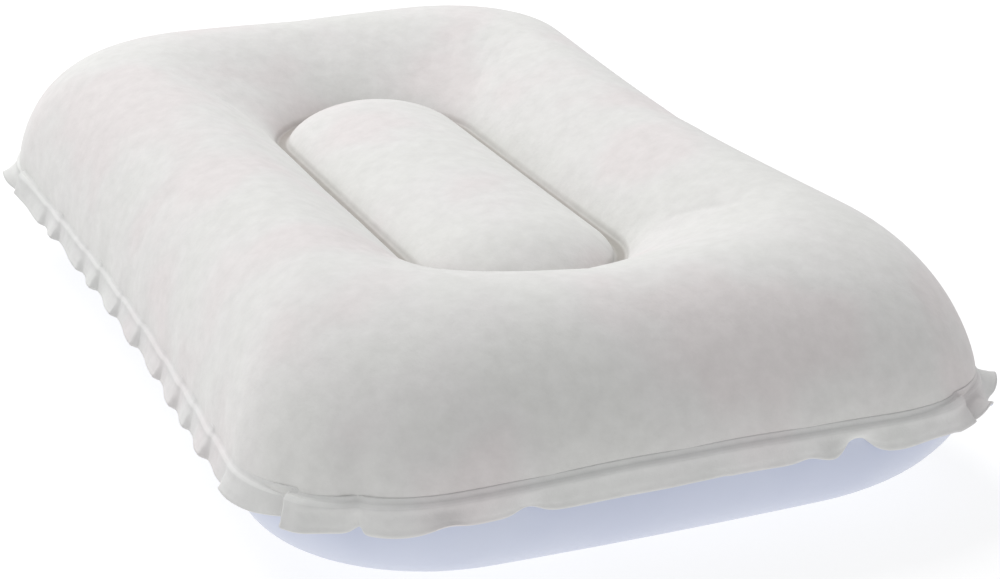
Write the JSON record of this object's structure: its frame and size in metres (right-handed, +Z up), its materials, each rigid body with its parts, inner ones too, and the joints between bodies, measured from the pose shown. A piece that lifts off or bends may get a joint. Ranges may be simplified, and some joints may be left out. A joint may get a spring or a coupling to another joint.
{
  "type": "inflatable camp pillow",
  "caption": "Inflatable camp pillow with a flocked top, a smooth vinyl base, a raised air tube between two weld lines inside a higher ring, a fused margin and a push-in valve.",
  "frame": {"origin": "on the floor under the middle of the pillow", "axes": "+X along the pillow's length, away from the valve; +Y across it; +Z up, towards the flocked side"},
  "size_m": [0.4346, 0.26, 0.087],
  "materials": {
    "flocked_top": "velvet flock on vinyl",
    "fused_margin": "flocked sheet fused to vinyl, pressed flat",
    "vinyl_base": "smooth satin PVC sheet",
    "web_vinyl": "plain PVC sheet",
    "valve_vinyl": "soft translucent moulded PVC"
  },
  "bodies": {
    "pillow": {"top_panel": "flocked_top", "bottom_panel": "vinyl_base", "welded_rim": "fused_margin", "front_rib": "web_vinyl", "back_rib": "web_vinyl", "valve_flange": "valve_vinyl", "valve_diaphragm": "valve_vinyl"},
    "stem": {"valve_stem": "valve_vinyl", "strap_ring": "valve_vinyl"},
    "plug": {"valve_plug": "valve_vinyl", "plug_strap": "valve_vinyl"},
    "flap": {"check_flap": "valve_vinyl"}
  },
  "joints": [
    {"name": "stem_push", "type": "slide", "parent": "pillow", "child": "stem", "axis": [-0.835, 0, -0.5503], "range_m": [0, 0.008]},
    {"name": "plug_flip", "type": "hinge", "parent": "stem", "child": "plug", "pos_m": [-0.20804, -0.0085, 0.01863], "axis": [-0.5503, 0, 0.835], "range_deg": [0, 110]},
    {"name": "flap_open", "type": "hinge", "parent": "stem", "child": "flap", "pos_m": [-0.19899, 0, 0.03106], "axis": [0, -1, 0], "range_deg": [0, 35]}
  ]
}
